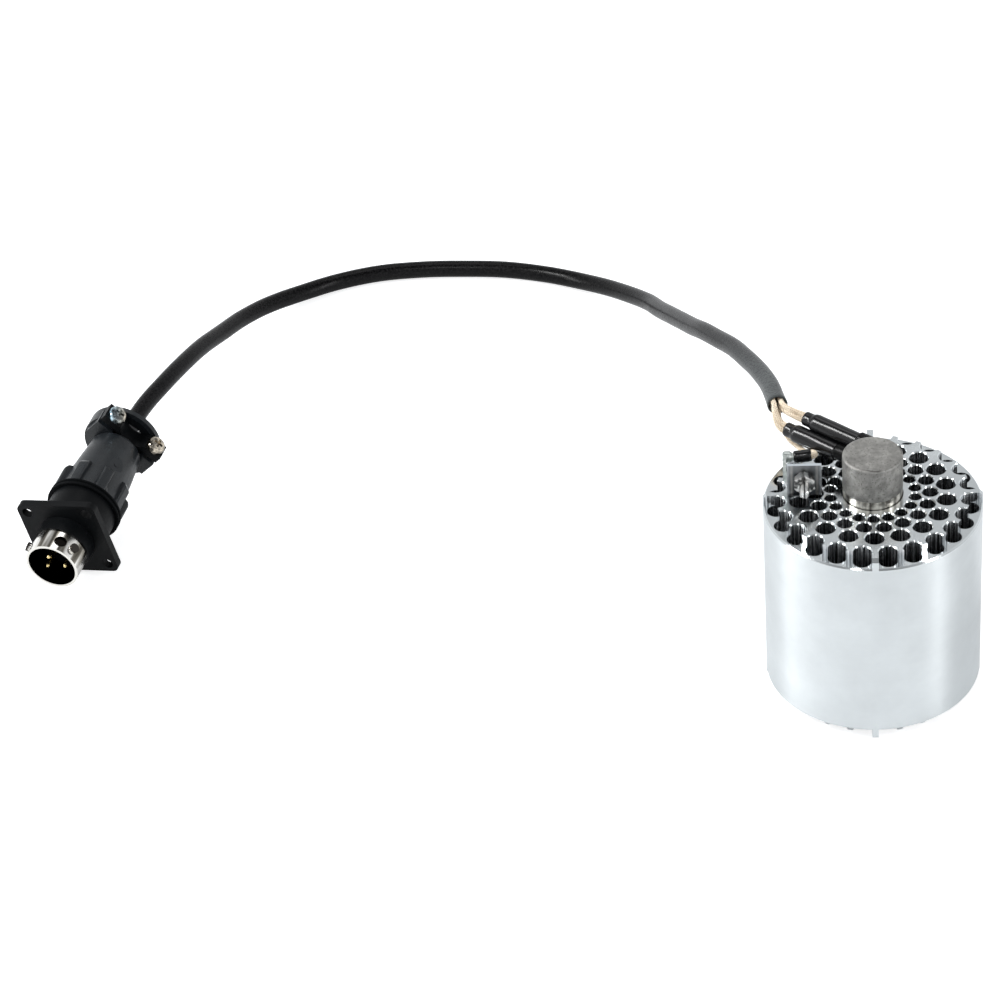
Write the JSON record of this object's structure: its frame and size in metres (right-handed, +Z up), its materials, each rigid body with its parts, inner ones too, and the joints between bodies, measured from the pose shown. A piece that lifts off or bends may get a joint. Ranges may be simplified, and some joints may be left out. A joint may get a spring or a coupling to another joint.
{
  "type": "dry block heater",
  "caption": "Round aluminium tube block with rings of through holes, a central cartridge heater, an earth bracket and a hose lead ending in a bayonet receptacle.",
  "frame": {"origin": "centre of the block's lower face", "axes": "+Z up along the block axis, +X to the right with the earth bracket on the -X side, -Y towards the viewer and the bracket's nut"},
  "size_m": [0.2577, 0.2185, 0.07],
  "materials": {
    "block_aluminium": "satin",
    "sheath_steel": "satin",
    "cap_steel": "blasted",
    "stainless": "polished",
    "zinc_screw": "polished",
    "nickel_shell": "satin",
    "gold_contact": "polished",
    "ceramic_white": "matte",
    "coil_wire": "satin",
    "black_sleeve": "gloss",
    "braid_cream": "braided glass fibre",
    "hose_black": "matte",
    "connector_black": "fine texture",
    "rubber_black": "matte"
  },
  "bodies": {
    "root": {"heating_block": "block_aluminium", "heater_sheath": "sheath_steel", "sheath_end_disc": "sheath_steel", "ceramic_core": "ceramic_white", "heating_coil": "coil_wire", "insulating_fill": "ceramic_white", "terminal_pins": "coil_wire", "heater_cap": "cap_steel", "end_seal": "ceramic_white", "lead_boot": "rubber_black", "lead_sleeve_front": "black_sleeve", "lead_sleeve_rear": "black_sleeve", "crimp_splices": "zinc_screw", "lead_front": "braid_cream", "lead_rear": "braid_cream", "lead_earth": "braid_cream", "earth_bracket": "stainless", "bracket_screw": "zinc_screw", "earth_bolt": "zinc_screw", "earth_nut": "stainless", "lock_washer": "stainless", "ring_terminal": "zinc_screw", "terminal_sleeve": "black_sleeve", "cable_hose": "hose_black", "receptacle_body": "connector_black", "metal_shell": "nickel_shell", "contact_insert": "rubber_black", "contact_pins": "gold_contact", "collar_ring": "connector_black", "backshell": "connector_black", "cable_grommet": "rubber_black", "clamp_saddle": "connector_black", "clamp_screws": "zinc_screw"}
  },
  "joints": []
}
